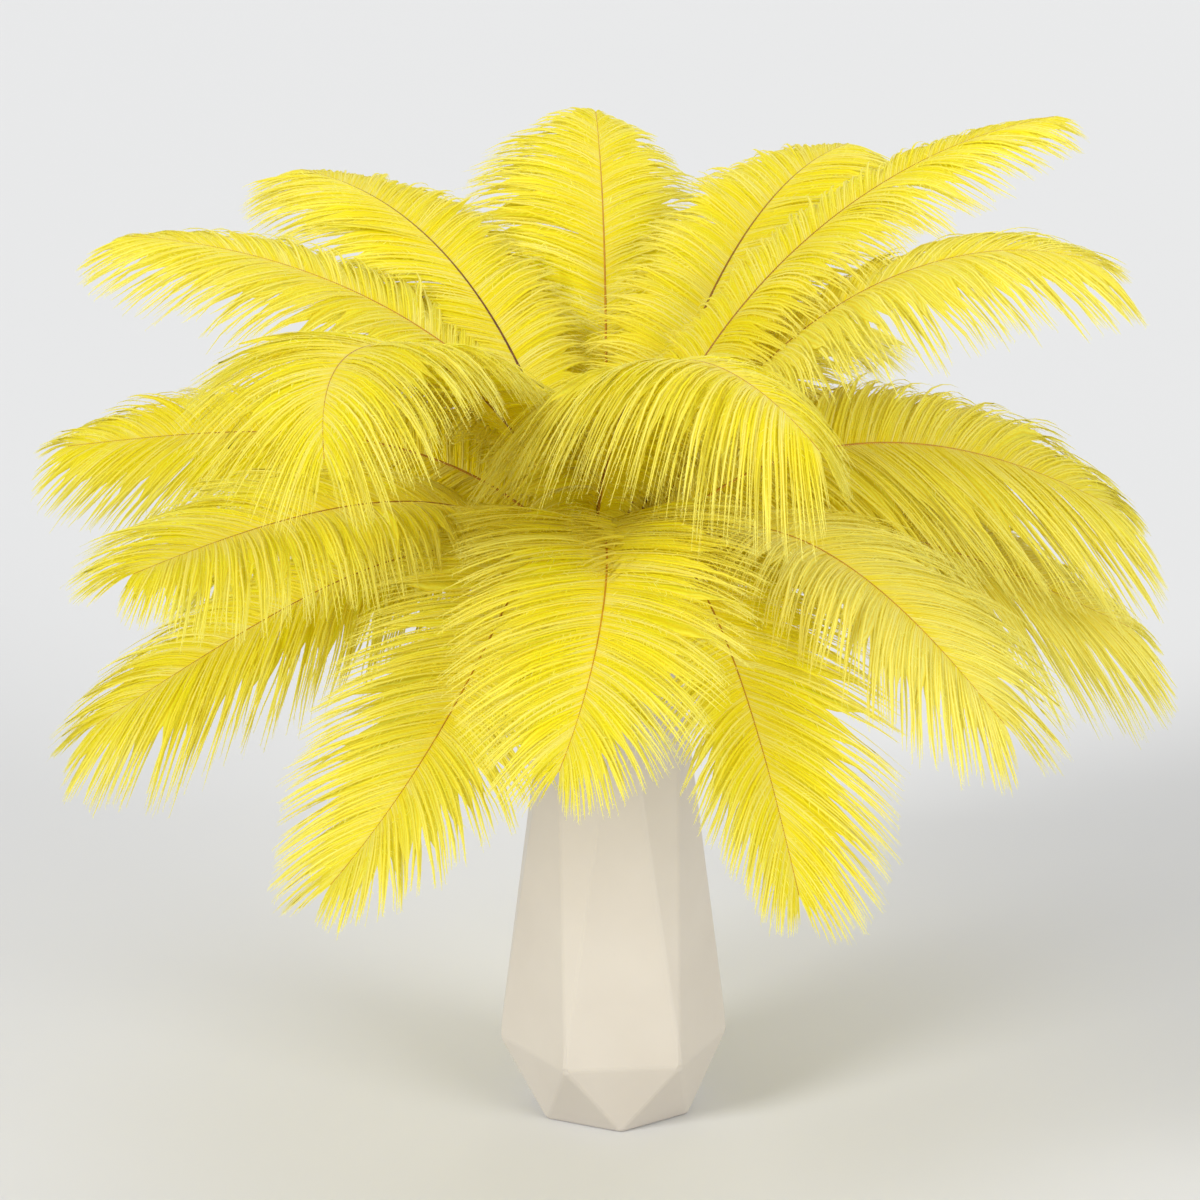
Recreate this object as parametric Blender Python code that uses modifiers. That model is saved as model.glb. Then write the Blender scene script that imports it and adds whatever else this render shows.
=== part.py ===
"""Yellow ostrich feathers standing in a white faceted vase.

Metres, +Z up, with the origin under the middle of the vase's foot. Headings are degrees round the vase,
counted from the front (-Y) towards the right (+X). Leans are degrees from upright. Each feather is one solid:
a round quill and shaft that widens into its two vanes.
"""

import math
from collections import namedtuple

import bmesh
import bpy
import numpy as np
from mathutils import Vector

# Vase: three hexagons, each turned half a side from the next.
VASE_HEIGHT = 0.250
FOOT_RADIUS = 0.042
RING_RADIUS = 0.059
RING_HEIGHT = 0.038
MOUTH_RADIUS = 0.035
CORNER_HEADING = 5.0  # heading of the foot's and the mouth's front corner
WALL = 0.005
FLOOR = 0.007
EDGE_ROUNDING = 0.0018

# Feathers.
WAIST_HEIGHT = 0.244  # the quills stand closest together just inside the mouth
QUILL_END_HEIGHT = 0.118
QUILL_RADIUS = 0.0016
TIP_RADIUS = 0.0005
SETTLE = 0.28  # share of the length over which a feather turns from its seat's heading to its own
VANE_GROWTH = 0.20  # share of the length over which the vanes widen above the bare shaft
NARROWS_FROM = 0.66
TIP_WIDTH = 0.25  # share of the full barb length left at the tip
BARB_ANGLE_BASE = 62.0  # degrees between a barb and the shaft
BARB_ANGLE_TIP = 30.0
BARB_RISE = 14.0  # degrees that barbs leave the shaft above its sides
QUILL_STATIONS = 2
VANE_STATIONS = 13
LEAST_SLOPE = 0.0005  # stands in for the vane's slope where the shaft is bare

# How the quills stand in the mouth: three rings of seats, each quill leaning along its ring.
Ring = namedtuple("Ring", "radius lean first_seat")
RINGS = {
    "crown": Ring(0.0070, 4.0, -50.0),
    "middle": Ring(0.0135, 9.0, -80.0),
    "skirt": Ring(0.0195, 14.0, -85.0),
}

# One feather: its heading, lean at the tip, how early it bends (1 is an even arc), length above the waist,
# sideways sway of the heading, share of the length that is bare shaft, roll that lifts the right vane, barb
# length on the left and on the right, and hang (how far barbs sag for their length).
Plan = namedtuple("Plan", "heading tip_lean early length sway bare roll left right hang")
FEATHERS = {
    "crown": [
        Plan(110, 84, 0.95, 0.385, -5, 0.34, 8, 0.066, 0.048, 0.60),
        Plan(150, 90, 1.00, 0.365, 0, 0.38, 10, 0.086, 0.070, 0.40),
        Plan(180, 72, 1.95, 0.385, 3, 0.42, 0, 0.066, 0.100, 0.40),
        Plan(214, 90, 1.25, 0.380, 5, 0.42, -5, 0.060, 0.080, 0.40),
    ],
    "middle": [
        Plan(11, 121, 0.89, 0.393, 22, 0.32, 0, 0.070, 0.070, 1.60),
        Plan(105, 118, 1.70, 0.340, 5, 0.34, 30, 0.090, 0.085, 0.90),
        Plan(79, 125, 0.55, 0.352, -5, 0.38, 14, 0.090, 0.060, 0.90),
        Plan(157, 120, 1.20, 0.350, 0, 0.34, 0, 0.080, 0.080, 0.80),
        Plan(207, 120, 1.20, 0.350, 0, 0.34, 0, 0.080, 0.080, 0.80),
        Plan(266, 88, 1.20, 0.356, -7, 0.42, -12, 0.060, 0.085, 0.80),
        Plan(262, 98, 2.30, 0.330, 0, 0.34, -30, 0.075, 0.070, 0.80),
        Plan(312, 136, 0.75, 0.392, 58, 0.36, 0, 0.085, 0.085, 0.80),
    ],
    "skirt": [
        Plan(10, 120, 1.90, 0.365, -30, 0.30, 0, 0.080, 0.080, 0.70),
        Plan(15, 147, 1.60, 0.370, 8, 0.36, -10, 0.065, 0.075, 0.50),
        Plan(37, 125, 1.70, 0.328, 5, 0.34, 0, 0.075, 0.075, 0.80),
        Plan(103, 117, 2.70, 0.310, 0, 0.34, 25, 0.085, 0.080, 0.90),
        Plan(134, 130, 2.00, 0.340, 0, 0.34, 0, 0.080, 0.080, 0.80),
        Plan(167, 130, 2.00, 0.335, 0, 0.36, 0, 0.075, 0.075, 0.80),
        Plan(200, 130, 2.00, 0.340, 0, 0.34, 0, 0.080, 0.080, 0.80),
        Plan(235, 130, 2.00, 0.340, 0, 0.34, 0, 0.080, 0.080, 0.80),
        Plan(290, 118, 3.20, 0.310, 2, 0.36, -10, 0.075, 0.085, 0.80),
        Plan(312, 94, 2.80, 0.340, 14, 0.36, -10, 0.080, 0.080, 0.80),
        Plan(358, 124, 2.55, 0.384, -45, 0.34, 0, 0.072, 0.075, 0.50),
    ],
}


def smooth(x):
    """0 below 0, 1 above 1, and a smooth step between."""
    x = np.clip(x, 0.0, 1.0)
    return x * x * (3 - 2 * x)


def unit(vectors):
    """The same directions with length 1."""
    return vectors / np.linalg.norm(vectors, axis=-1, keepdims=True)


def toward(heading):
    """Level unit vectors at these headings."""
    angle = np.radians(heading)
    return np.stack([np.sin(angle), -np.cos(angle), np.zeros_like(angle)], -1)


def seat_heading(ring, order, count):
    return RINGS[ring].first_seat + 360.0 * order / count


def shaft(ring, order, count, plan, t):
    """The shaft at the shares t of its length above the waist: points, directions, sides and upper normals.

    It leaves its seat along the ring, so that neighbours never cross, then turns to its own heading while its
    lean grows from the ring's to the tip's as 1 - (1 - t) ** early. The points are the running sum of the
    directions.
    """
    seat = seat_heading(ring, order, count)
    turn = (plan.heading - (seat + 90.0) + 180.0) % 360.0 - 180.0
    fine = np.linspace(0.0, 1.0, 241)
    bent = 1 - (1 - fine) ** plan.early
    lean = np.radians(RINGS[ring].lean + (plan.tip_lean - RINGS[ring].lean) * bent)
    heading = seat + 90.0 + turn * smooth(fine / SETTLE) + plan.sway * fine * fine
    level = toward(heading)
    direction = level * np.sin(lean)[:, None]
    direction[:, 2] = np.cos(lean)
    step = plan.length / (len(fine) - 1)
    places = np.zeros_like(direction)
    places[1:] = np.cumsum((direction[1:] + direction[:-1]) * step / 2, axis=0)
    start = toward(np.float64(seat)) * RINGS[ring].radius
    start[2] = WAIST_HEIGHT
    places += start
    side = np.stack([-level[:, 1], level[:, 0], np.zeros(len(fine))], -1)
    points = np.stack([np.interp(t, fine, places[:, i]) for i in range(3)], -1)
    along = np.stack([np.interp(t, fine, direction[:, i]) for i in range(3)], -1)
    side = np.stack([np.interp(t, fine, side[:, i]) for i in range(3)], -1)
    along = unit(along)
    side = unit(side)
    return points, along, side, np.cross(along, side)


def barb_length(plan, t, across):
    """Barbs grow from nothing where the bare shaft ends to full length, and shorten again towards the tip."""
    grown = smooth((t - plan.bare) / VANE_GROWTH)
    past = np.clip((t - NARROWS_FROM) / (1 - NARROWS_FROM), 0.0, 1.0)
    full = plan.left if across < 0 else plan.right
    return full * grown * (1 - (1 - TIP_WIDTH) * past**2)


def barb_point(plan, t, across, spine):
    """Where barbs reach: out to the side, forward and a little up, and sagging with the square of across.

    across runs from -1 at the left barbs' ends, through 0 on the shaft, to 1 at the right barbs' ends.
    """
    points, along, side, upper = spine
    angle = np.radians(BARB_ANGLE_BASE + (BARB_ANGLE_TIP - BARB_ANGLE_BASE) * t)[:, None]
    lift = math.radians(BARB_RISE + plan.roll * np.sign(across))
    out = side * np.sign(across) * math.cos(lift) + upper * math.sin(lift)
    reach = barb_length(plan, t, across)[:, None] * abs(across)
    sag = np.array([0.0, 0.0, 0.5 * plan.hang]) * abs(across)
    return points + reach * (np.cos(angle) * along + np.sin(angle) * out - sag)


# A section runs round the solid: for each of its points, which of the places across the vane it belongs to and
# its angle round that place. Its first half is the vane's upper face.
ACROSS = (-1.0, -0.66, -0.33, 0.0, 0.33, 0.66, 1.0)
SECTION = [(6, 0), (5, 40), (4, 65), (3, 90), (2, 115), (1, 140),
           (0, 180), (1, 220), (2, 245), (3, 270), (4, 295), (5, 320)]


def feather_sections(ring, order, count, plan):
    """The rings of points of one feather's solid, from the cut end of its quill to its tip.

    The vane's middle sheet is a grid over share and across. Its own slopes give the way across and the normal
    that the thickness is laid off along, so the two faces stay apart where the vane hangs.
    """
    vane = plan.bare + (1 - plan.bare) * np.linspace(0, 1, VANE_STATIONS)
    t = np.concatenate([np.linspace(0, plan.bare, QUILL_STATIONS + 1)[:-1], vane])
    spine = shaft(ring, order, count, plan, t)
    sheet = np.stack([barb_point(plan, t, across, spine) for across in ACROSS])
    wide = unit(np.gradient(sheet, np.array(ACROSS), axis=0) + LEAST_SLOPE * spine[2])
    normal = unit(np.cross(np.gradient(sheet, t, axis=1), wide))
    thick = (QUILL_RADIUS + (TIP_RADIUS - QUILL_RADIUS) * t)[:, None]
    rings = []
    for place, degrees in SECTION:
        turn = math.radians(degrees)
        outward = math.cos(turn) * wide[place] + math.sin(turn) * normal[place]
        rings.append(sheet[place] + thick * outward)
    sections = np.stack(rings, axis=1)
    down = spine[1][0] * (WAIST_HEIGHT - QUILL_END_HEIGHT) / spine[1][0][2]
    return np.concatenate([sections[:1] - down, sections])


def loft_faces(count, size):
    """Triangles between neighbouring rings of points.

    Both faces of a vane are split along the same diagonals, so that they stay apart where it is twisted.
    """
    ring = np.arange(size)
    start = np.arange(count - 1)[:, None] * size
    a, b = start + ring, start + np.roll(ring, -1)
    c, d = b + size, a + size
    upper = (ring < size // 2)[:, None]
    first = np.where(upper, np.stack([a, b, c], -1), np.stack([a, b, d], -1))
    second = np.where(upper, np.stack([a, c, d], -1), np.stack([b, c, d], -1))
    return np.concatenate([first, second]).reshape(-1, 3)


def closed_loft(name, sections):
    """A closed solid through rings of points, with a flat face on each end."""
    count, size = sections.shape[:2]
    ring = np.arange(size)
    faces = loft_faces(count, size).tolist()
    faces.append(ring[::-1].tolist())
    faces.append((ring + (count - 1) * size).tolist())
    mesh = bpy.data.meshes.new(name)
    mesh.from_pydata(sections.reshape(-1, 3).tolist(), [], faces)
    mesh.shade_smooth()
    return mesh


def hexagon(radius, height, first_corner):
    """Six corners at one height, the first at its heading."""
    corners = toward(first_corner + 60.0 * np.arange(6)) * radius
    return [Vector((x, y, height)) for x, y, _ in corners]


def hull(name, points):
    """The faceted solid that a tight skin round these points makes."""
    shape = bmesh.new()
    for point in points:
        shape.verts.new(point)
    bmesh.ops.convex_hull(shape, input=shape.verts[:])
    bmesh.ops.dissolve_limit(shape, angle_limit=math.radians(1), verts=shape.verts[:], edges=shape.edges[:])
    bmesh.ops.recalc_face_normals(shape, faces=shape.faces[:])
    mesh = bpy.data.meshes.new(name)
    shape.to_mesh(mesh)
    shape.free()
    return mesh


def material(name, colour, roughness):
    made = bpy.data.materials.new(name)
    made.use_nodes = True
    shader = made.node_tree.nodes["Principled BSDF"]
    shader.inputs["Base Color"].default_value = (*colour, 1.0)
    shader.inputs["Roughness"].default_value = roughness
    shader.inputs["Metallic"].default_value = 0.0
    return made


def add(name, mesh, collection):
    made = bpy.data.objects.new(name, mesh)
    collection.objects.link(made)
    return made


def make_vase(parts, cutters):
    """The outer skin over foot, ring and mouth, hollowed by a smaller one, with every edge rounded."""
    ring_corner = CORNER_HEADING + 30.0
    outside = hexagon(FOOT_RADIUS, 0.0, CORNER_HEADING)
    outside += hexagon(RING_RADIUS, RING_HEIGHT, ring_corner)
    outside += hexagon(MOUTH_RADIUS, VASE_HEIGHT, CORNER_HEADING)
    inset = WALL / math.cos(math.radians(30))
    above = 0.010  # the cutter stands this far out of the mouth, still narrowing
    narrowing = above * (RING_RADIUS - MOUTH_RADIUS) / (VASE_HEIGHT - RING_HEIGHT)
    inside = hexagon(FOOT_RADIUS - inset, FLOOR, CORNER_HEADING)
    inside += hexagon(RING_RADIUS - inset, RING_HEIGHT + WALL / 2, ring_corner)
    inside += hexagon(MOUTH_RADIUS - inset - narrowing, VASE_HEIGHT + above, CORNER_HEADING)

    vase = add("vase", hull("vase", outside), parts)
    cavity = add("vase_cavity", hull("vase_cavity", inside), cutters)
    cavity.hide_render = True
    cavity.display_type = "WIRE"
    cut = vase.modifiers.new("hollow", "BOOLEAN")
    cut.operation = "DIFFERENCE"
    cut.object = cavity
    rounding = vase.modifiers.new("rounding", "BEVEL")
    rounding.width = EDGE_ROUNDING
    rounding.segments = 2
    rounding.limit_method = "ANGLE"
    rounding.angle_limit = math.radians(8)
    vase.data.materials.append(material("white_ceramic", (0.86, 0.83, 0.78), 0.35))


def make_feathers(parts):
    for ring, plans in FEATHERS.items():
        for order, plan in enumerate(plans):
            name = f"{ring}_feather_{order + 1}"
            sections = feather_sections(ring, order, len(plans), plan)
            feather = add(name, closed_loft(name, sections), parts)
            feather.data.materials.append(material(name, (0.93, 0.78, 0.06), 0.7))


def new_collection(name):
    made = bpy.data.collections.new(name)
    bpy.context.scene.collection.children.link(made)
    return made


def main():
    for leftover in list(bpy.data.objects):
        bpy.data.objects.remove(leftover)
    parts = new_collection("ostrich_feathers_in_vase")
    cutters = new_collection("cutters")
    make_vase(parts, cutters)
    make_feathers(parts)


if __name__ == "__main__":
    main()
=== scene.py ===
"""Looks of a bouquet of yellow ostrich feathers standing in a white faceted vase.

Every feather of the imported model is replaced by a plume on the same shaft: a tapering shaft, its barbs as narrow
folded ribbons gathered into locks, the webs that hold each lock together, and the barbules that fringe the barbs.
The barbs begin lower than the solid's vanes do, so the plumes are full in the middle of the bouquet, where the
solids are bare shafts. The vase keeps its own mesh and gets a glaze. Headings are degrees round the vase from the
front (-Y) towards the right (+X), and leans are degrees from upright. Lengths are in metres.
"""

import math
from collections import namedtuple

import bpy
import numpy as np
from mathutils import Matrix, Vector


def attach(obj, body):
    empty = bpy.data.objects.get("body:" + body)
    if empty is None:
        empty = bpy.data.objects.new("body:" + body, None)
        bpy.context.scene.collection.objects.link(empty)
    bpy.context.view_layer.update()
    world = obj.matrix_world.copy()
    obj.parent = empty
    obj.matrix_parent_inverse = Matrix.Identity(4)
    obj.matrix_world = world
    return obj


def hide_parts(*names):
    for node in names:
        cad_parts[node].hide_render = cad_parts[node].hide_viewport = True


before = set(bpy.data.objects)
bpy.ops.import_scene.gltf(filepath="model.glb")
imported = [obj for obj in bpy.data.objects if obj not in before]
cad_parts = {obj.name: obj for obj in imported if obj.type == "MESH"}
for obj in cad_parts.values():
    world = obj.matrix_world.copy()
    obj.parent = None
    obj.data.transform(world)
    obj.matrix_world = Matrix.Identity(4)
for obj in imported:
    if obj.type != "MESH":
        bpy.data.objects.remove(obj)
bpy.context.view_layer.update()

bl_info = {
    "name": "Ostrich feather bouquet",
    "version": (1, 0, 0),
    "blender": (4, 5, 0),
    "location": "View3D > Sidebar > Bouquet",
    "description": "Makes a bouquet of dyed ostrich feathers in a faceted vase, with floor, lights and camera",
    "category": "Add Mesh",
}

# Where the shafts run, as in the solids that the plumes replace.
WAIST_HEIGHT = 0.244  # the quills stand closest together just inside the mouth
QUILL_END_HEIGHT = 0.118
SETTLE = 0.28  # share of the length over which a feather turns from its seat's heading to its own
SHAFT_STEPS = 241  # places at which a shaft's course is summed up

Ring = namedtuple("Ring", "radius lean first_seat")
RINGS = {
    "crown": Ring(0.0070, 4.0, -50.0),
    "middle": Ring(0.0135, 9.0, -80.0),
    "skirt": Ring(0.0195, 14.0, -85.0),
}

# A plume's heading, lean at the tip, how early it bends, length above the waist, sideways sway, bare share, roll
# that lifts the right vane, barb length on the left and on the right, how far barbs hang, how dark its shaft is,
# and how golden its dye is.
Plan = namedtuple("Plan", "heading tip_lean early length sway bare roll left right hang dark gold")
FEATHERS = {
    "crown": [
        Plan(110, 84, 0.95, 0.385, -5, 0.34, 8, 0.066, 0.048, 0.90, 0.45, 0.1),
        Plan(150, 90, 1.00, 0.365, 0, 0.38, 10, 0.086, 0.070, 0.85, 0.70, 0.3),
        Plan(180, 72, 1.95, 0.385, 3, 0.42, 0, 0.070, 0.100, 0.85, 0.15, 0.3),
        Plan(214, 90, 1.25, 0.380, 5, 0.42, -5, 0.064, 0.080, 0.80, 0.95, 0.3),
    ],
    "middle": [
        Plan(11, 121, 0.89, 0.393, 22, 0.32, 0, 0.084, 0.056, 1.60, 0.20, 0.2),
        Plan(105, 118, 1.70, 0.340, 5, 0.34, 30, 0.090, 0.085, 0.90, 0.15, -0.4),
        Plan(79, 125, 0.55, 0.352, -5, 0.38, 14, 0.090, 0.060, 0.90, 0.35, -0.4),
        Plan(157, 120, 1.20, 0.350, 0, 0.34, 0, 0.080, 0.080, 0.80, 0.40, 0.3),
        Plan(207, 120, 1.20, 0.350, 0, 0.34, 0, 0.080, 0.080, 0.80, 0.40, 0.3),
        Plan(266, 88, 1.20, 0.356, -7, 0.42, -12, 0.060, 0.085, 0.80, 0.20, -0.2),
        Plan(262, 98, 2.30, 0.330, 0, 0.34, -30, 0.075, 0.070, 0.80, 0.40, 0.3),
        Plan(312, 136, 0.75, 0.392, 58, 0.36, 0, 0.088, 0.088, 0.95, 0.35, 0.0),
    ],
    "skirt": [
        Plan(10, 120, 1.90, 0.365, -30, 0.30, 0, 0.080, 0.080, 0.36, 0.10, 0.0),
        Plan(15, 147, 1.60, 0.370, 8, 0.36, -10, 0.068, 0.078, 0.32, 0.30, 0.5),
        Plan(37, 125, 1.70, 0.328, 5, 0.34, 0, 0.075, 0.075, 0.80, 0.15, -1.0),
        Plan(103, 117, 2.70, 0.310, 0, 0.34, 25, 0.085, 0.080, 0.90, 0.15, -1.0),
        Plan(134, 130, 2.00, 0.340, 0, 0.34, 0, 0.080, 0.080, 0.80, 0.40, 0.3),
        Plan(167, 130, 2.00, 0.335, 0, 0.36, 0, 0.075, 0.075, 0.80, 0.40, 0.3),
        Plan(200, 130, 2.00, 0.340, 0, 0.34, 0, 0.080, 0.080, 0.80, 0.40, 0.3),
        Plan(235, 130, 2.00, 0.340, 0, 0.34, 0, 0.080, 0.080, 0.80, 0.40, 0.3),
        Plan(290, 118, 3.20, 0.310, 2, 0.36, -10, 0.075, 0.085, 0.80, 0.35, 0.2),
        Plan(312, 94, 2.80, 0.340, 14, 0.36, -10, 0.080, 0.080, 0.80, 0.40, 0.0),
        Plan(358, 124, 2.55, 0.384, -45, 0.34, 0, 0.074, 0.077, 0.34, 0.25, -0.3),
    ],
}

# The outline of a plume.
SHAFT_REACH = 0.985  # the shaft ends at this share of the solid's length, and the last barbs run on past it
DOWN_REACH = 0.20  # share of the length below the bare shaft's end over which the visible barbs begin
DOWN_LENGTH = 0.25  # share of the full barb length that the first barbs have
DOWN_MARGIN = 0.04  # how far past the bare shaft's end the barbs are full grown
NARROWS_FROM = 0.63
TIP_WIDTH = 0.13  # share of the full barb length left at the tip
TIP_ROUNDING = 0.62  # power of the narrowing: a half would be an ellipse

# How barbs leave the shaft.
BARB_ANGLE_BASE = 68.0  # degrees between a barb and the shaft
BARB_ANGLE_FALL = 12.0  # how much less by the tip, steadily
BARB_ANGLE_TURN = 42.0  # how much less again by the sixth power of the share of the length
BARB_RISE = 14.0  # degrees that barbs leave the shaft above its sides
SWEEP = 0.12  # how much a barb starts out wide of its chord and ends up ahead of it
BARB_SEGMENTS = 7

# How far barbs stray, as standard deviations from lock to lock and from barb to barb.
LENGTH_STRAY = (0.022, 0.04)  # share of the length
LENGTH_LIMITS = (-0.2, 0.10)
ANGLE_STRAY = (0.8, 1.1)  # degrees
LIFT_STRAY = (1.3, 2.4)  # degrees
HANG_STRAY = (0.06, 0.09)  # share of the hang
TINT_STRAY = (0.04, 0.24)
TWIST_STRAY = (3.0, 8.0)  # degrees at the shaft
TWIST_STRAY_OUT = (8.0, 28.0)  # degrees more at the barb's end
TINT = 0.62
WAVE = 0.012  # how far a barb waves, for its length

# How barbs gather into locks.
LOCK_FEWEST = 3
LOCK_MOST = 7
HOLD_STRAY = 0.16
HOLD_LIMITS = (0.1, 0.96)
LONERS = 0.06  # share of barbs that stay out of their lock
PULL_FROM = 0.45  # share of a barb's length from which it is pulled to its lock's middle

# Webs, ribbons, barbules and shaft.
WEB_SEGMENTS = 6  # a lock's web ends this many segments out along its barbs
WEB_TINT = 0.5  # how pale a web is for its barbs
WEB_SLANT = 0.0003
WEB_HEIGHTS = np.array([-1.75, -0.5, 0.25]) * WEB_SLANT  # of its first edge, middle and last edge above the vane
WEB_DRAWN_FROM = 0.36  # share of the barbs' length from which a web draws in
WEB_DRAWN_OVER = 0.47  # and the share over which it does
RIDGE = 0.22  # height of a ribbon's fold for its width
RIBBON_TAPER = 0.9
BARBULE_ANGLE = (34.0, 9.0)  # degrees ahead of the barb, and how much it strays
BARBULE_TILT = 28.0  # degrees that they stray out of the ribbon's plane
BARBULE_REACH = (0.55, 1.15)  # share of the set length, from shortest to longest
BARBULE_TAPER = 0.62  # how much shorter they are at the barb's end
BARBULE_DROOP = 0.12
SHAFT_TAPER = 0.80
SHAFT_STATIONS = 56
SHAFT_SIDES = 8

# The bake map's rows: ribbons and barbules below WEB_ROWS, webs up to SHAFT_ROWS, and the shaft above that.
WEB_ROWS = 0.62
SHAFT_ROWS = 0.96
ROWS_END = 0.99


class FeatherSettings(bpy.types.PropertyGroup):
    """Sizes and colours shared by all plumes."""

    spacing: bpy.props.FloatProperty(
        name="Barb spacing", description="Distance between barbs along the shaft",
        default=0.00110, min=0.0005, subtype="DISTANCE", unit="LENGTH", precision=5)
    ribbon: bpy.props.FloatProperty(
        name="Barb width", description="Width of a barb's ribbon where it is widest",
        default=0.00128, min=0.0002, subtype="DISTANCE", unit="LENGTH", precision=5)
    barbule: bpy.props.FloatProperty(
        name="Barbule length", description="Length of the barbules that fringe a barb",
        default=0.0042, min=0.0005, subtype="DISTANCE", unit="LENGTH", precision=5)
    barbule_pitch: bpy.props.FloatProperty(
        name="Barbule spacing", description="Distance between barbules along a barb",
        default=0.00140, min=0.0005, subtype="DISTANCE", unit="LENGTH", precision=5)
    hold: bpy.props.FloatProperty(
        name="Lock hold", description="How firmly barbs gather into locks at their ends",
        default=0.26, min=0.0, max=1.0, subtype="FACTOR")
    shaft_width: bpy.props.FloatProperty(
        name="Shaft width", description="Width of the shaft in the vase's mouth",
        default=0.0022, min=0.0005, subtype="DISTANCE", unit="LENGTH", precision=5)
    # golden dye beside the shaft and on golden plumes, also the colour of the painted shade low in the plume and
    # between barbs
    golden_dye_and_shade: bpy.props.FloatVectorProperty(
        name="Golden dye and painted shade", description="Colour of the barbs beside the shaft",
        default=(0.93, 0.845, 0.003), min=0.0, max=1.0, subtype="COLOR")
    dye: bpy.props.FloatVectorProperty(
        name="Dye", description="Colour of most of the vane",
        default=(0.93, 0.925, 0.014), min=0.0, max=1.0, subtype="COLOR")
    pale: bpy.props.FloatVectorProperty(
        name="Pale ends", description="Colour of the barbs' ends",
        default=(0.96, 0.96, 0.34), min=0.0, max=1.0, subtype="COLOR")
    ochre: bpy.props.FloatVectorProperty(
        name="Light shaft", description="Colour of the lightest shafts",
        default=(0.56, 0.27, 0.003), min=0.0, max=1.0, subtype="COLOR")
    maroon: bpy.props.FloatVectorProperty(
        name="Dark shaft", description="Colour of the darkest shafts",
        default=(0.060, 0.012, 0.006), min=0.0, max=1.0, subtype="COLOR")


class VaseSettings(bpy.types.PropertyGroup):
    """The vase's glaze."""

    # the glaze and thick-glaze colours are darker than the ivory glaze itself: painted shade over the whole vase
    glaze: bpy.props.FloatVectorProperty(
        name="Glaze", description="Colour of the glaze",
        default=(0.545, 0.50, 0.437), min=0.0, max=1.0, subtype="COLOR")
    shade: bpy.props.FloatVectorProperty(
        name="Thick glaze", description="Colour where the glaze lies thicker",
        default=(0.505, 0.457, 0.393), min=0.0, max=1.0, subtype="COLOR")
    roughness: bpy.props.FloatProperty(
        name="Roughness", description="How satin the glaze is",
        default=0.38, min=0.0, max=1.0, subtype="FACTOR")


class StageSettings(bpy.types.PropertyGroup):
    """Floor, lights and camera."""

    floor: bpy.props.FloatVectorProperty(
        name="Floor", description="Colour of the floor",
        default=(0.62, 0.62, 0.62), min=0.0, max=1.0, subtype="COLOR")
    distance: bpy.props.FloatProperty(
        name="Camera distance", description="Distance from the camera to the middle of the bouquet",
        default=1.8, min=0.5, subtype="DISTANCE", unit="LENGTH")
    elevation: bpy.props.FloatProperty(
        name="Camera elevation", description="Angle of the camera above the level",
        default=math.radians(15.0), subtype="ANGLE", unit="ROTATION")
    lens: bpy.props.FloatProperty(
        name="Lens", description="Focal length of the camera",
        default=108.0, min=10.0, subtype="DISTANCE_CAMERA", unit="CAMERA")
    brightness: bpy.props.FloatProperty(
        name="Light", description="Strength of all the lamps together",
        default=1.0, min=0.0, subtype="FACTOR", soft_max=2.0)


def smooth(x):
    """0 below 0, 1 above 1, and the cubic 3xx - 2xxx between."""
    x = np.clip(x, 0.0, 1.0)
    return x * x * (3 - 2 * x)


def unit(v):
    """The same directions with length 1."""
    return v / np.maximum(np.linalg.norm(v, axis=-1, keepdims=True), 1e-12)


def toward(heading):
    """Level unit vectors at these headings: (sin, -cos, 0)."""
    angle = np.radians(heading)
    return np.stack([np.sin(angle), -np.cos(angle), np.zeros_like(angle)], -1)


def shaft(ring, order, count, plan, t):
    """The shaft at the shares t of its length above the waist: points, directions, sides and upper normals.

    It leaves its seat along the ring, then turns to its own heading by a smooth step over SETTLE, while its
    lean grows from the ring's to the tip's as 1 - (1 - t) ** early. The points are the running sum of the
    directions.
    """
    seat = RINGS[ring].first_seat + 360.0 * order / count
    turn = (plan.heading - (seat + 90.0) + 180.0) % 360.0 - 180.0
    fine = np.linspace(0.0, 1.0, SHAFT_STEPS)
    bent = 1 - (1 - fine) ** plan.early
    lean = np.radians(RINGS[ring].lean + (plan.tip_lean - RINGS[ring].lean) * bent)
    level = toward(seat + 90.0 + turn * smooth(fine / SETTLE) + plan.sway * fine * fine)
    direction = level * np.sin(lean)[:, None]
    direction[:, 2] = np.cos(lean)
    step = plan.length / (len(fine) - 1)
    places = np.zeros_like(direction)
    places[1:] = np.cumsum((direction[1:] + direction[:-1]) * step / 2, axis=0)
    start = toward(np.float64(seat)) * RINGS[ring].radius
    start[2] = WAIST_HEIGHT
    places += start
    side = np.stack([-level[:, 1], level[:, 0], np.zeros(len(fine))], -1)
    points, along, side = (
        np.stack([np.interp(t, fine, track[:, i]) for i in range(3)], -1)
        for track in (places, direction, side))
    along = unit(along)
    side = unit(side)
    return points, along, side, np.cross(along, side)


def barb_length(plan, t, across):
    """How long the barbs are at the shares t of the shaft.

    They grow by a smooth step from short, down on the bare shaft, to full length, then shorten to the tip as
    (1 - past ** 2) ** TIP_ROUNDING, with past the share of the way from NARROWS_FROM to the shaft's end.
    """
    grown = smooth((t - plan.bare + DOWN_REACH) / (DOWN_REACH + DOWN_MARGIN))
    grown = DOWN_LENGTH + (1 - DOWN_LENGTH) * grown
    past = np.clip((t - NARROWS_FROM) / (SHAFT_REACH - NARROWS_FROM), 0.0, 1.0)
    full = plan.left if across < 0 else plan.right
    return full * grown * (TIP_WIDTH + (1 - TIP_WIDTH) * (1 - past**2) ** TIP_ROUNDING)


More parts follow.
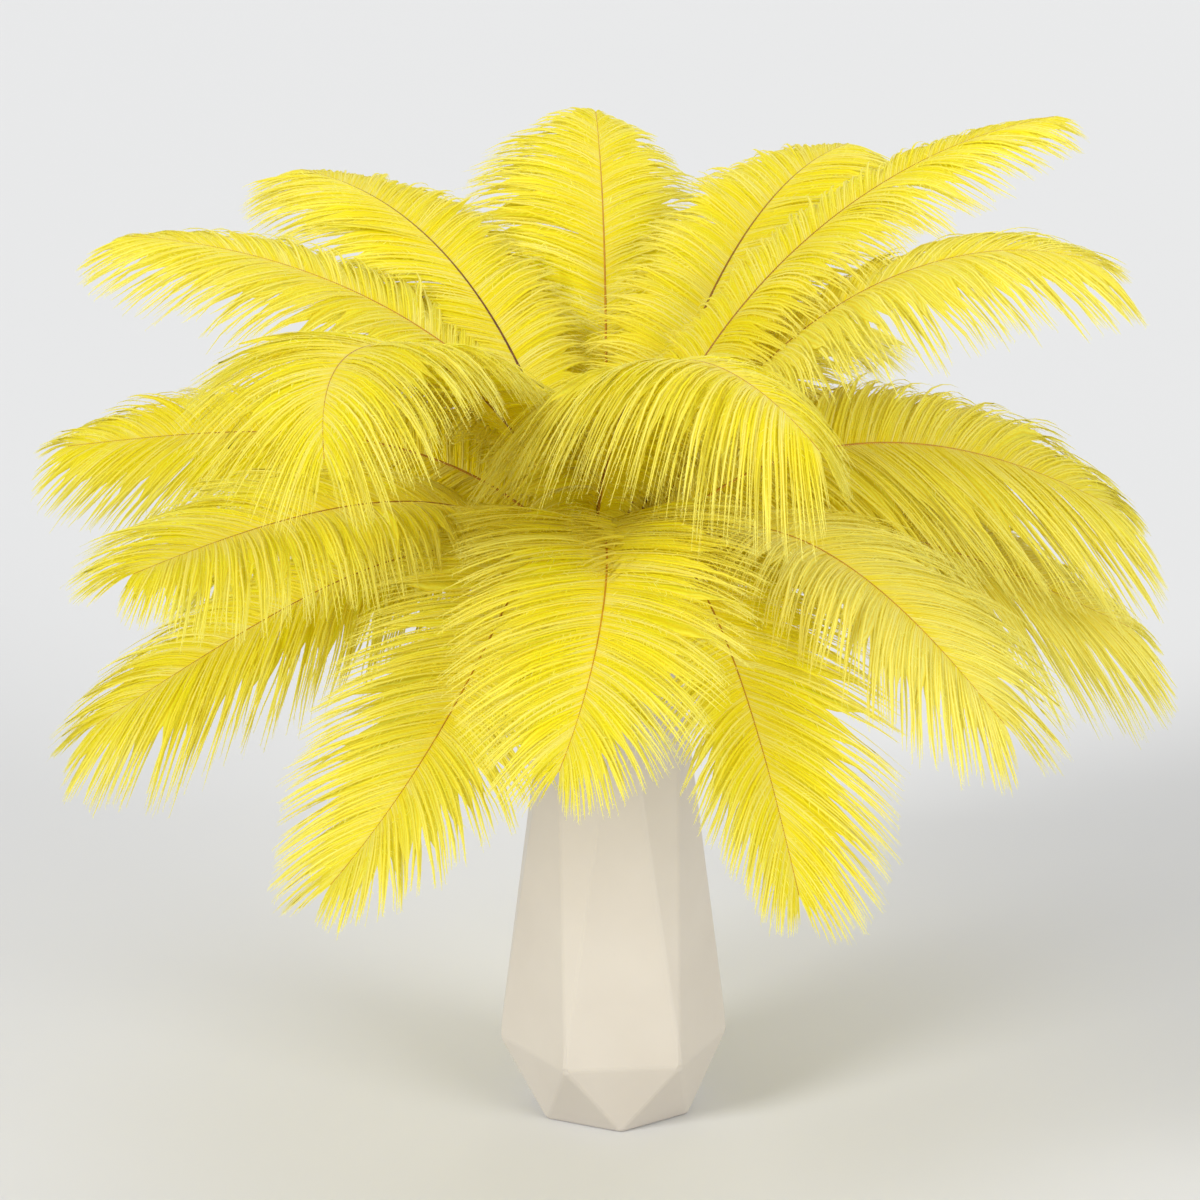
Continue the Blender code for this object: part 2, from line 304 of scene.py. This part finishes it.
def locks_of(count, rng):
    """Shares barbs out into locks of a few neighbours: each barb's lock, and the barb in the middle of it."""
    sizes = rng.integers(LOCK_FEWEST, LOCK_MOST + 1, count)
    ends = np.cumsum(sizes)
    lock = np.searchsorted(ends, np.arange(count), side="right")
    middle = np.minimum(ends[lock] - (sizes[lock] + 1) // 2, count - 1)
    return lock, middle


# A side's barbs: share of the shaft, stations u, lengths, paths, directions, ribbon normals and sides, and tints.
# Then its locks: first and last barbs, the webs' edges and middles, and the webs' normals.
Paths = namedtuple("Paths", "t u length path tangent face broad tint first last web normal")


def barb_paths(ring, order, count, plan, across, settings, rng):
    """The paths of one side's barbs, as an array of barbs by stations by 3, with what the ribbons need.

    A barb runs cos(angle) u (1 - SWEEP (1 - u)) along the shaft and sin(angle) u (1 + SWEEP (1 - u)) out from
    it, times its length, and sags by the square of u. Its angle, rise, hang and length stray from lock to lock
    and from barb to barb, and slow waves run along it. Then it is drawn towards its lock's middle barb.
    """
    start = plan.bare - DOWN_REACH
    number = round((SHAFT_REACH - start) * plan.length / settings.spacing)
    t = start + (SHAFT_REACH - start) * (np.arange(number) + 0.5) / number
    points, along, side, upper = shaft(ring, order, count, plan, t)
    lock, middle = locks_of(number, rng)

    def stray(by):
        return rng.normal(0.0, by[0], number)[lock] + rng.normal(0.0, by[1], number)

    u = np.linspace(0.0, 1.0, BARB_SEGMENTS + 1)
    length = barb_length(plan, t, across) * (1 + np.clip(stray(LENGTH_STRAY), *LENGTH_LIMITS))
    angle = BARB_ANGLE_BASE - BARB_ANGLE_FALL * t - BARB_ANGLE_TURN * (t / SHAFT_REACH)**6
    angle = np.radians(angle + stray(ANGLE_STRAY))
    lift = np.radians(BARB_RISE + plan.roll * across + stray(LIFT_STRAY))
    hang = plan.hang * (1 + stray(HANG_STRAY))
    out = side * (across * np.cos(lift))[:, None] + upper * np.sin(lift)[:, None]
    ahead = np.cos(angle)[:, None] * u * (1 - SWEEP * (1 - u))
    aside = np.sin(angle)[:, None] * u * (1 + SWEEP * (1 - u))
    phase = rng.uniform(0, 2 * np.pi, number)[lock] + rng.normal(0, 0.4, number)
    turns = rng.uniform(0.5, 1.1, number)[lock]
    wave = WAVE * u * np.sin(phase[:, None] + 2 * np.pi * turns[:, None] * u)
    wave = wave + WAVE * u * np.sin(rng.uniform(0, 2 * np.pi, number)[:, None] + 2 * np.pi * 1.6 * u)
    sag = 0.5 * hang[:, None] * u**2
    path = (ahead + wave)[..., None] * along[:, None] + aside[..., None] * out[:, None]
    path[..., 2] -= sag
    loose = points[:, None] + path * length[:, None, None]

    hold = np.clip(settings.hold + rng.normal(0, HOLD_STRAY, number)[lock], *HOLD_LIMITS)
    hold = np.where(rng.random(number) < LONERS, 0.0, hold)
    pull = hold[:, None] * smooth((u - PULL_FROM) / (1 - PULL_FROM))
    path = loose + pull[..., None] * (loose[middle] - loose)

    tangent = unit(np.gradient(path, axis=1))
    normal = unit(across * np.cross(along[:, None], tangent))
    broad = across * np.cross(tangent, normal)
    twist = np.radians(stray(TWIST_STRAY)[:, None] + stray(TWIST_STRAY_OUT)[:, None] * u)[..., None]
    face = np.cos(twist) * normal - np.sin(twist) * broad
    broad = np.cos(twist) * broad + np.sin(twist) * normal
    tint = np.clip(TINT + stray(TINT_STRAY), 0.0, 1.0)
    first = np.searchsorted(lock, np.unique(lock))
    last = np.append(first[1:], number) - 1
    before, after = np.maximum(first - 1, 0), np.minimum(last + 1, number - 1)
    web = np.stack([loose[before], loose[middle[first]], loose[after]], 2)
    return Paths(t, u, length, path, tangent, face, broad, tint, first, last, web, normal[middle[first]])


def strip_faces(vertices, across):
    """Four-cornered faces of strips of three points a station, turned the same way out on both sides."""
    index = np.arange(vertices[..., 0].size).reshape(vertices.shape[:3])
    here, there = index[:, :-1], index[:, 1:]
    if across > 0:
        here, there = there, here
    return np.stack([here[..., :-1], there[..., :-1], there[..., 1:], here[..., 1:]], -1).reshape(-1, 4)


def strands(vertices, out, along, tint, comb):
    """Each point's strand value: its share of the barb, its share of the shaft, its tint and its place in the comb,
    which sets the bump and the painted shade between barbs.
    """
    strand = np.empty(vertices.shape[:-1] + (4,))
    strand[..., 0], strand[..., 1], strand[..., 2], strand[..., 3] = out, along, tint, comb
    return strand.reshape(-1, 4)


def places_on_map(vertices, out, row):
    """Each point's place on the bake map: out from its middle line, -1 to 1, and up to its row."""
    place = np.empty(vertices.shape[:-1] + (2,))
    place[..., 0] = 0.5 + 0.49 * out
    place[..., 1] = row
    return place.reshape(-1, 2)


def webs(across, paths):
    """The barbules that hook a lock's barbs together, as one strip from its first barb over its middle to its last.

    A strip spans its lock at first, then draws in to the middle barb by a smooth step, and lies aslant so that
    the locks overlap like shingles. Its strand value counts up by two for each barb across it, and sets painted
    shade lines between its barbs.
    """
    first, last = paths.first, paths.last
    stations = WEB_SEGMENTS + 1
    u = paths.u[:stations]
    drawn = 1 - smooth((u - WEB_DRAWN_FROM) / WEB_DRAWN_OVER)
    middle = paths.web[:, :stations, 1:2]
    vertices = middle + (paths.web[:, :stations] - middle) * drawn[:, None, None]
    vertices = vertices + paths.normal[:, :stations, None] * WEB_HEIGHTS[:, None]
    strand = strands(vertices, u[:, None], paths.t[first][:, None, None],
                     WEB_TINT * paths.tint[first][:, None, None],
                     (last - first + 1)[:, None, None] * np.array([0.0, 1.0, 2.0]))
    row = np.stack([first + 0.1, (first + last + 1) / 2, last + 0.9], -1) / len(paths.t)
    place = places_on_map(vertices, across * u[:, None], WEB_ROWS + (SHAFT_ROWS - WEB_ROWS) * row[:, None])
    return vertices.reshape(-1, 3), strip_faces(vertices, across), strand, place


def ribbons(across, paths, settings):
    """Folded ribbons along the barbs: three points at each station, the middle one raised along the ribbon's face.

    The width is 1 - RIBBON_TAPER u ** 5 of the full one, which is less for barbs shorter than 5 cm.
    """
    number, u, path = len(paths.t), paths.u, paths.path
    shape = 1 - RIBBON_TAPER * u**5
    width = settings.ribbon * shape * np.clip(paths.length / 0.05, 0.35, 1.0)[:, None]
    edge = paths.broad * width[..., None] / 2
    ridge = paths.face * (RIDGE * width)[..., None]
    vertices = np.stack([path - edge, path + ridge, path + edge], axis=2)
    # the comb value, 0 at the edges and 1 at the ridge, puts painted shade along each ribbon's edges
    strand = strands(vertices, u[None, :, None], paths.t[:, None, None], paths.tint[:, None, None],
                     np.array([0.0, 1.0, 0.0]))
    row = (np.arange(number) + 0.5)[:, None, None]
    place = places_on_map(vertices, across * u[None, :, None],
                          (row + np.array([-0.4, 0.0, 0.4])) / number * WEB_ROWS)
    return vertices.reshape(-1, 3), strip_faces(vertices, across), strand, place


def fringe(across, paths, settings, rng):
    """Barbules: thin triangles from the barb's middle, ahead at an angle and a little off the ribbon's plane."""
    t, length, tint = paths.t, paths.length, paths.tint
    number = len(t)
    each = np.maximum(2, (length / settings.barbule_pitch).astype(int))
    barb = np.repeat(np.arange(number), each)
    rank = np.arange(len(barb)) - np.repeat(np.cumsum(each) - each, each)
    at = 0.03 + 0.97 * (rank + rng.random(len(barb))) / each[barb]
    where = np.clip(at, 0.0, 0.999) * BARB_SEGMENTS
    low = where.astype(int)
    share = (where - low)[:, None]

    def between(track):
        return track[barb, low] * (1 - share) + track[barb, low + 1] * share

    root, forward = between(paths.path), unit(between(paths.tangent))
    facing, sideways = unit(between(paths.face)), unit(between(paths.broad))
    flag = np.where(rng.random(len(barb)) < 0.5, -1.0, 1.0)
    spread = np.radians(rng.normal(*BARBULE_ANGLE, len(barb)))[:, None]
    tilt = np.radians(rng.normal(0.0, BARBULE_TILT, len(barb)))[:, None]
    reach = settings.barbule * rng.uniform(*BARBULE_REACH, len(barb)) * (1 - BARBULE_TAPER * at**2)
    reach = (reach * np.clip(length[barb] / 0.04, 0.4, 1.0))[:, None]
    out = sideways * flag[:, None] * np.cos(tilt) + facing * np.sin(tilt)
    tip = root + reach * (forward * np.cos(spread) + out * np.sin(spread))
    tip[:, 2] -= BARBULE_DROOP * reach[:, 0]
    foot = forward * (0.055 * reach + 0.00009)
    turned = (flag * across > 0)[:, None]
    first = np.where(turned, root + foot, root - foot)
    second = np.where(turned, root - foot, root + foot)
    vertices = np.stack([first, second, tip], axis=1)
    faces = np.arange(3 * len(barb)).reshape(-1, 3)
    strand = strands(vertices, np.clip(at[:, None] + np.array([0.0, 0.0, 0.12]), 0.0, 1.0), t[barb][:, None],
                     np.clip(tint[barb] + rng.normal(0.08, 0.12, len(barb)), 0.0, 1.0)[:, None], 1.0)
    place = places_on_map(
        vertices, across * np.clip(at[:, None] + np.array([0.0, 0.01, 0.02]), 0.0, 1.0),
        (barb[:, None] + 0.5 + flag[:, None] * np.array([0.05, 0.05, 0.4])) / number * WEB_ROWS)
    return vertices.reshape(-1, 3), faces, strand, place


def shaft_tube(ring, order, count, plan, settings):
    """A round tube swept along the quill and shaft, with closed ends: its radius is 1 - SHAFT_TAPER t ** 1.1 of
    the full one, and the quill narrows to its end below the mouth.
    """
    t = np.linspace(0.0, SHAFT_REACH, SHAFT_STATIONS)
    points, along, side, upper = shaft(ring, order, count, plan, t)
    radius = settings.shaft_width / 2 * (1 - SHAFT_TAPER * t**1.1)
    down = along[0] * (WAIST_HEIGHT - QUILL_END_HEIGHT) / along[0][2]
    below = np.array([1.0, 0.985, 0.5, 0.0])[:, None]
    points = np.concatenate([points[0] - down * below[:3], points])
    side, upper = (np.concatenate([np.repeat(v[:1], 3, 0), v]) for v in (side, upper))
    radius = np.concatenate([[0.35 * radius[0], 0.9 * radius[0], radius[0]], radius])
    t = np.concatenate([-0.5 * below[:3, 0], t])
    turn = 2 * np.pi * np.arange(SHAFT_SIDES) / SHAFT_SIDES
    rim = np.cos(turn)[None, :, None] * side[:, None] + np.sin(turn)[None, :, None] * upper[:, None]
    vertices = points[:, None] + rim * radius[:, None, None]
    index = np.arange(vertices.shape[0] * SHAFT_SIDES).reshape(-1, SHAFT_SIDES)
    after = np.roll(index, -1, axis=1)
    quads = np.stack([index[:-1], after[:-1], after[1:], index[1:]], -1)
    strand = strands(vertices, 0.5 + 0.5 * np.sin(turn), t[:, None], plan.dark, 1.0)
    place = np.empty(quads.shape[:2] + (4, 2))
    row = np.arange(len(t)) / (len(t) - 1)
    place[..., 0, 0] = place[..., 1, 0] = row[:-1, None]
    place[..., 2, 0] = place[..., 3, 0] = row[1:, None]
    low = SHAFT_ROWS + 0.008
    ring_share = np.arange(SHAFT_SIDES) / SHAFT_SIDES * (ROWS_END - low) + low
    place[..., 0, 1] = place[..., 3, 1] = ring_share
    place[..., 1, 1] = place[..., 2, 1] = ring_share + (ROWS_END - low) / SHAFT_SIDES
    ends = [index[0][::-1].tolist(), index[-1].tolist()]
    return vertices.reshape(-1, 3), quads.reshape(-1, 4), strand, place.reshape(-1, 2), ends


def mesh_of(name, vertices, loops, sizes, strand, places, slots):
    """One mesh from whole arrays: its points, the faces' point numbers and sizes, strand values and map."""
    mesh = bpy.data.meshes.new(name)
    mesh.vertices.add(len(vertices))
    mesh.vertices.foreach_set("co", vertices.astype(np.float32).ravel())
    mesh.loops.add(len(loops))
    mesh.loops.foreach_set("vertex_index", loops.astype(np.int32))
    mesh.polygons.add(len(sizes))
    mesh.polygons.foreach_set("loop_start", (np.cumsum(sizes) - sizes).astype(np.int32))
    mesh.polygons.foreach_set("material_index", slots.astype(np.int32))
    mesh.update(calc_edges=True)
    mesh.shade_smooth()
    values = mesh.attributes.new("strand", "FLOAT_COLOR", "POINT")
    values.data.foreach_set("color", strand.astype(np.float32).ravel())
    layer = mesh.uv_layers.new(name="OFBake")
    layer.data.foreach_set("uv", places.astype(np.float32).ravel())
    if mesh.validate():
        raise RuntimeError(f"{name}: the mesh isn't sound")
    return mesh


def plume_mesh(name, ring, order, count, plan, settings, seed):
    """Webs, ribbons, fringe and shaft of one plume in one mesh, the shaft in the second material slot."""
    rng = np.random.default_rng(seed)
    parts = []
    for across in (-1.0, 1.0):
        paths = barb_paths(ring, order, count, plan, across, settings, rng)
        parts.append((*webs(across, paths), 0))
        parts.append((*ribbons(across, paths, settings), 0))
        parts.append((*fringe(across, paths, settings, rng), 0))
    tube = shaft_tube(ring, order, count, plan, settings)
    parts.append((*tube[:4], 1))
    base, loops, sizes, places, slots = 0, [], [], [], []
    for vertices, faces, _, place, slot in parts:
        loops.append((faces + base).ravel())
        sizes.append(np.full(len(faces), faces.shape[1]))
        places.append(place if len(place) == faces.size else place[faces.ravel()])
        slots.append(np.full(len(faces), slot))
        base += len(vertices)
    ends = np.array(tube[4]) + base - len(tube[0])
    loops.append(ends.ravel())
    sizes.append(np.full(2, SHAFT_SIDES))
    corner = [[0.005, 0.995], [0.006, 0.995], [0.006, 0.996], [0.005, 0.996]]
    places.append(np.tile(corner, (SHAFT_SIDES // 2, 1)))
    slots.append(np.ones(2))
    vertices, strand = (np.concatenate([part[i] for part in parts]) for i in (0, 2))
    return mesh_of(name, vertices, *(np.concatenate(v) for v in (loops, sizes)), strand,
                   np.concatenate(places), np.concatenate(slots))


def nodes_of(material):
    """A cleared node tree with its output, and two short ways to add and to join nodes."""
    material.use_nodes = True
    tree = material.node_tree
    tree.nodes.clear()
    output = tree.nodes.new("ShaderNodeOutputMaterial")

    def add(kind, **values):
        node = tree.nodes.new(kind)
        for key, value in values.items():
            setattr(node, key, value)
        return node

    return output, add, tree.links.new


def ramp_of(node, stops):
    """Fills a colour ramp with (place, colour) stops."""
    ramp = node.color_ramp
    while len(ramp.elements) < len(stops):
        ramp.elements.new(1.0)
    for element, (place, colour) in zip(ramp.elements, stops):
        element.position = place
        element.color = (*colour, 1.0)


def mixed(add, link, factor, a, b, blend="MIX"):
    """Colour a mixed with b by factor; each may be a socket, a number or a colour."""
    node = add("ShaderNodeMix", data_type="RGBA", blend_type=blend)
    for socket, value in ((node.inputs[0], factor), (node.inputs[6], a), (node.inputs[7], b)):
        if isinstance(value, bpy.types.NodeSocket):
            link(value, socket)
        elif isinstance(value, float):
            socket.default_value = value
        else:
            socket.default_value = (*value, 1.0)
    return node.outputs[2]


def ranged(add, link, source, start=0.0, end=1.0, low=0.0, high=1.0, **kind):
    """A value carried from start..end to low..high, and held there beyond its ends."""
    node = add("ShaderNodeMapRange", **kind)
    for name, value in (("From Min", start), ("From Max", end), ("To Min", low), ("To Max", high)):
        node.inputs[name].default_value = value
    link(source, node.inputs[0])
    return node.outputs[0]


def noise(add, link, place, scale, detail=2.0):
    """Noise on the piece's own coordinates."""
    node = add("ShaderNodeTexNoise")
    node.inputs["Scale"].default_value = scale
    node.inputs["Detail"].default_value = detail
    link(place.outputs["Object"], node.inputs["Vector"])
    return node.outputs[0]


def bumped(add, link, height, strength, distance):
    """Normals bumped by a height."""
    node = add("ShaderNodeBump")
    node.inputs["Strength"].default_value = strength
    node.inputs["Distance"].default_value = distance
    link(height, node.inputs["Height"])
    return node.outputs[0]


def strand_parts(add, link):
    """The strand attribute's own node, and its three parts."""
    strand = add("ShaderNodeAttribute", attribute_name="strand")
    parts = add("ShaderNodeSeparateColor")
    link(strand.outputs["Color"], parts.inputs[0])
    return strand, parts.outputs


def barb_material(settings, gold):
    """Dyed barbs: golden beside the shaft, canary over the vane and pale at the ends, and partly translucent, with
    painted golden shade low in the plume and between the barbs.

    Gold runs from -1 for a lemon plume to 1 for a golden one.
    """
    material = bpy.data.materials.new(f"yellow_dyed_barbs_{round(gold * 10)}")
    output, add, link = nodes_of(material)
    strand, (out, along, tint) = strand_parts(add, link)
    place = add("ShaderNodeTexCoord")
    golden_dye_and_shade, dye, pale = (np.array(c[:]) for c in (settings.golden_dye_and_shade, settings.dye, settings.pale))
    warm = dye + (golden_dye_and_shade - dye) * max(gold, 0.0) * 0.6 + (pale - dye) * max(-gold, 0.0) * 0.7
    clouded = tuple(warm * np.array([0.97, 0.9, 0.6]))
    # the colour of the painted shade in the gaps between barbs
    painted_gap_shade = tuple(golden_dye_and_shade * np.array([0.93, 0.80, 0.8]))

    # along a barb
    ramp = add("ShaderNodeValToRGB")
    ramp_of(ramp, [(0.0, golden_dye_and_shade), (0.14, golden_dye_and_shade + (warm - golden_dye_and_shade) * 0.7), (0.4, warm),
                   (0.8, warm + (pale - warm) * 0.5), (1.0, pale)])
    link(out, ramp.inputs[0])
    # painted shade: golden low on the shaft, deep in the bouquet; then tone from barb to barb, and in clouds over the
    # vane
    low = ranged(add, link, along, 0.30, 0.62, 0.45, 0.0, interpolation_type="SMOOTHSTEP")
    colour = mixed(add, link, low, ramp.outputs[0], settings.golden_dye_and_shade[:])
    colour = mixed(add, link, ranged(add, link, tint, start=0.40, high=0.85), colour, settings.pale[:])
    cloud = ranged(add, link, noise(add, link, place, 38.0, 3.0), 0.35, 0.70, high=0.35)
    colour = mixed(add, link, cloud, colour, clouded)
    # painted shade: darker golden gaps between barbs, at the ribbons' edges and in lines across the webs
    comb = add("ShaderNodeMath", operation="PINGPONG")
    comb.inputs[1].default_value = 1.0
    link(strand.outputs["Alpha"], comb.inputs[0])
    colour = mixed(add, link, ranged(add, link, comb.outputs[0], low=0.8, high=0.0), colour, painted_gap_shade)

    height = add("ShaderNodeMath", operation="ADD")
    link(noise(add, link, place, 900.0, 0.0), height.inputs[0])
    link(comb.outputs[0], height.inputs[1])
    shader = add("ShaderNodeBsdfPrincipled")
    link(colour, shader.inputs["Base Color"])
    link(bumped(add, link, height.outputs[0], 0.45, 0.0004), shader.inputs["Normal"])
    shader.inputs["Roughness"].default_value = 0.55
    shader.inputs["Specular IOR Level"].default_value = 0.35
    shader.inputs["Sheen Weight"].default_value = 0.15
    shader.inputs["Sheen Roughness"].default_value = 0.45
    shader.inputs["Sheen Tint"].default_value = (1.0, 0.97, 0.75, 1.0)
    through = add("ShaderNodeBsdfTranslucent")
    link(colour, through.inputs["Color"])
    both = add("ShaderNodeMixShader")
    both.inputs[0].default_value = 0.45
    link(shader.outputs[0], both.inputs[1])
    link(through.outputs[0], both.inputs[2])
    link(both.outputs[0], output.inputs[0])
    return material


def shaft_material(settings):
    """Horny shaft, from ochre to maroon by how dark it is, streaked with brown, and golden at its thin end."""
    material = bpy.data.materials.new("feather_shaft")
    output, add, link = nodes_of(material)
    _, (_, along, dark) = strand_parts(add, link)
    place = add("ShaderNodeTexCoord")
    golden_end = (0.56, 0.30, 0.004)
    brown = (0.30, 0.12, 0.012)
    colour = mixed(add, link, dark, settings.ochre[:], settings.maroon[:])
    thin = ranged(add, link, along, start=0.45, high=0.7, interpolation_type="SMOOTHSTEP")
    colour = mixed(add, link, thin, colour, golden_end)
    streak = ranged(add, link, noise(add, link, place, 220.0), 0.40, 0.75, high=0.5)
    colour = mixed(add, link, streak, colour, brown)
    shader = add("ShaderNodeBsdfPrincipled")
    link(colour, shader.inputs["Base Color"])
    shader.inputs["Roughness"].default_value = 0.5
    shader.inputs["Specular IOR Level"].default_value = 0.3
    link(shader.outputs[0], output.inputs[0])
    return material


def glaze_material(settings):
    """Satin ivory glaze, its colours kept darker than the ivory itself as painted shade: a slow drift of tone where it
    lies thicker, tiny pits, and a faint ripple in the gloss.
    """
    material = bpy.data.materials.new("ivory_satin_glaze")
    output, add, link = nodes_of(material)
    place = add("ShaderNodeTexCoord")
    # darkened with the glaze, as painted shade
    pitted = (0.485, 0.437, 0.37)
    drift = ranged(add, link, noise(add, link, place, 14.0, 4.0), 0.35, 0.70)
    colour = mixed(add, link, drift, settings.glaze[:], settings.shade[:])
    pits = add("ShaderNodeTexVoronoi")
    pits.inputs["Scale"].default_value = 160.0
    link(place.outputs["Object"], pits.inputs["Vector"])
    colour = mixed(add, link, ranged(add, link, pits.outputs[0], 0.05, 0.10, 0.22, 0.0), colour, pitted)
    ripple = noise(add, link, place, 70.0)
    rough = ranged(add, link, ripple, low=settings.roughness - 0.06, high=settings.roughness + 0.06)
    shader = add("ShaderNodeBsdfPrincipled")
    link(colour, shader.inputs["Base Color"])
    link(rough, shader.inputs["Roughness"])
    link(bumped(add, link, ripple, 0.12, 0.0006), shader.inputs["Normal"])
    shader.inputs["Coat Weight"].default_value = 0.25
    shader.inputs["Coat Roughness"].default_value = 0.25
    link(shader.outputs[0], output.inputs[0])
    return material


def link_object(name, data):
    """A new object at the origin, in the scene."""
    made = bpy.data.objects.new(name, data)
    bpy.context.scene.collection.objects.link(made)
    return made


def add_ring(context, ring):
    """The plumes of one ring, each in the place of its solid."""
    settings = context.scene.bouquet_feathers
    plans = FEATHERS[ring]
    horn = bpy.data.materials.get("feather_shaft") or shaft_material(settings)
    for order, plan in enumerate(plans):
        name = f"{ring}_plume_{order + 1}"
        seed = 100 * list(FEATHERS).index(ring) + order + 7
        mesh = plume_mesh(name, ring, order, len(plans), plan, settings, seed)
        dye = f"yellow_dyed_barbs_{round(plan.gold * 10)}"
        mesh.materials.append(bpy.data.materials.get(dye) or barb_material(settings, plan.gold))
        mesh.materials.append(horn)
        plume = link_object(name, mesh)
        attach(plume, "root")
        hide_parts(f"{ring}_feather_{order + 1}")


class AddCrown(bpy.types.Operator):
    """Adds the plumes that stand up out of the middle"""

    bl_idname = "bouquet.add_crown"
    bl_label = "Add crown plumes"

    def execute(self, context):
        add_ring(context, "crown")
        return {"FINISHED"}


class AddMiddle(bpy.types.Operator):
    """Adds the plumes that lean out halfway"""

    bl_idname = "bouquet.add_middle"
    bl_label = "Add middle plumes"

    def execute(self, context):
        add_ring(context, "middle")
        return {"FINISHED"}


class AddSkirt(bpy.types.Operator):
    """Adds the plumes that arch low over the vase"""

    bl_idname = "bouquet.add_skirt"
    bl_label = "Add skirt plumes"

    def execute(self, context):
        add_ring(context, "skirt")
        return {"FINISHED"}


class AddVase(bpy.types.Operator):
    """Glazes the faceted vase"""

    bl_idname = "bouquet.add_vase"
    bl_label = "Glaze the vase"

    def execute(self, context):
        glaze = glaze_material(context.scene.bouquet_vase)
        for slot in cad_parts["vase"].material_slots:
            slot.material = glaze
        return {"FINISHED"}


FLOOR_RADIUS = 12.0
LOOKED_AT = (-0.007, 0.0, 0.269)  # the camera's aim, in the middle of the bouquet


def add_light(name, place, spread, power):
    """A soft far lamp that shines from a place towards the origin, as wide as its spread in degrees."""
    lamp = bpy.data.lights.new(name, "SUN")
    lamp.angle = math.radians(spread)
    lamp.energy = power
    made = link_object(name, lamp)
    made.location = place
    made.rotation_euler = (-Vector(place)).to_track_quat("-Z", "Y").to_euler()


class AddStage(bpy.types.Operator):
    """Adds the floor, the lamps and the camera"""

    bl_idname = "bouquet.add_stage"
    bl_label = "Add floor, lights and camera"

    def execute(self, context):
        settings = context.scene.bouquet_stage
        turn = np.radians(np.arange(0, 360, 5))
        rim = FLOOR_RADIUS * np.stack([np.cos(turn), np.sin(turn), np.zeros(len(turn))], -1)
        disc = bpy.data.meshes.new("floor")
        disc.from_pydata(rim.tolist(), [], [list(range(len(turn)))])
        cloth = bpy.data.materials.new("pale_floor")
        output, add, link = nodes_of(cloth)
        shader = add("ShaderNodeBsdfPrincipled")
        shader.inputs["Base Color"].default_value = (*settings.floor[:], 1.0)
        shader.inputs["Roughness"].default_value = 0.85
        link(shader.outputs[0], output.inputs[0])
        disc.materials.append(cloth)
        link_object("floor", disc)

        power = settings.brightness
        add_light("key", (-1.8, -1.55, 1.3), 20, 2.2 * power)
        add_light("fill", (1.7, -1.7, 0.85), 32, 1.8 * power)
        add_light("back", (0.6, 2.0, 1.6), 45, 0.6 * power)

        world = bpy.data.worlds.new("studio")
        world.use_nodes = True
        sky = world.node_tree.nodes["Background"]
        sky.inputs[0].default_value = (0.93, 0.94, 0.95, 1.0)
        sky.inputs[1].default_value = 0.68
        context.scene.world = world
        context.scene.view_settings.view_transform = "Standard"

        camera = bpy.data.cameras.new("camera")
        camera.lens = settings.lens
        camera.sensor_width = 36.0
        eye = link_object("camera", camera)
        back = Vector((0.0, -math.cos(settings.elevation), math.sin(settings.elevation)))
        eye.location = Vector(LOOKED_AT) + back * settings.distance
        eye.rotation_euler = (-back).to_track_quat("-Z", "Y").to_euler()
        context.scene.camera = eye
        return {"FINISHED"}


class BouquetPanel(bpy.types.Panel):
    """Lists the pieces of the bouquet and the stage"""

    bl_idname = "VIEW3D_PT_bouquet"
    bl_label = "Feather bouquet"
    bl_space_type = "VIEW_3D"
    bl_region_type = "UI"
    bl_category = "Bouquet"

    def draw(self, context):
        for group in SETTINGS:
            settings = getattr(context.scene, group)
            for name in settings.bl_rna.properties.keys():
                if name not in {"rna_type", "name"}:
                    self.layout.prop(settings, name)
        for step in STEPS:
            self.layout.operator(step.bl_idname)


STEPS = (AddStage, AddVase, AddCrown, AddMiddle, AddSkirt)
SETTINGS = {
    "bouquet_feathers": FeatherSettings,
    "bouquet_vase": VaseSettings,
    "bouquet_stage": StageSettings,
}


def register():
    for kind in (*SETTINGS.values(), *STEPS, BouquetPanel):
        bpy.utils.register_class(kind)
    for name, kind in SETTINGS.items():
        setattr(bpy.types.Scene, name, bpy.props.PointerProperty(type=kind))


def unregister():
    for name in SETTINGS:
        delattr(bpy.types.Scene, name)
    for kind in reversed((*SETTINGS.values(), *STEPS, BouquetPanel)):
        bpy.utils.unregister_class(kind)


def main():
    """Registers the classes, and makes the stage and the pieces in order."""
    register()
    bpy.ops.bouquet.add_stage()
    bpy.ops.bouquet.add_vase()
    bpy.ops.bouquet.add_crown()
    bpy.ops.bouquet.add_middle()
    bpy.ops.bouquet.add_skirt()


if __name__ == "__main__":
    main()
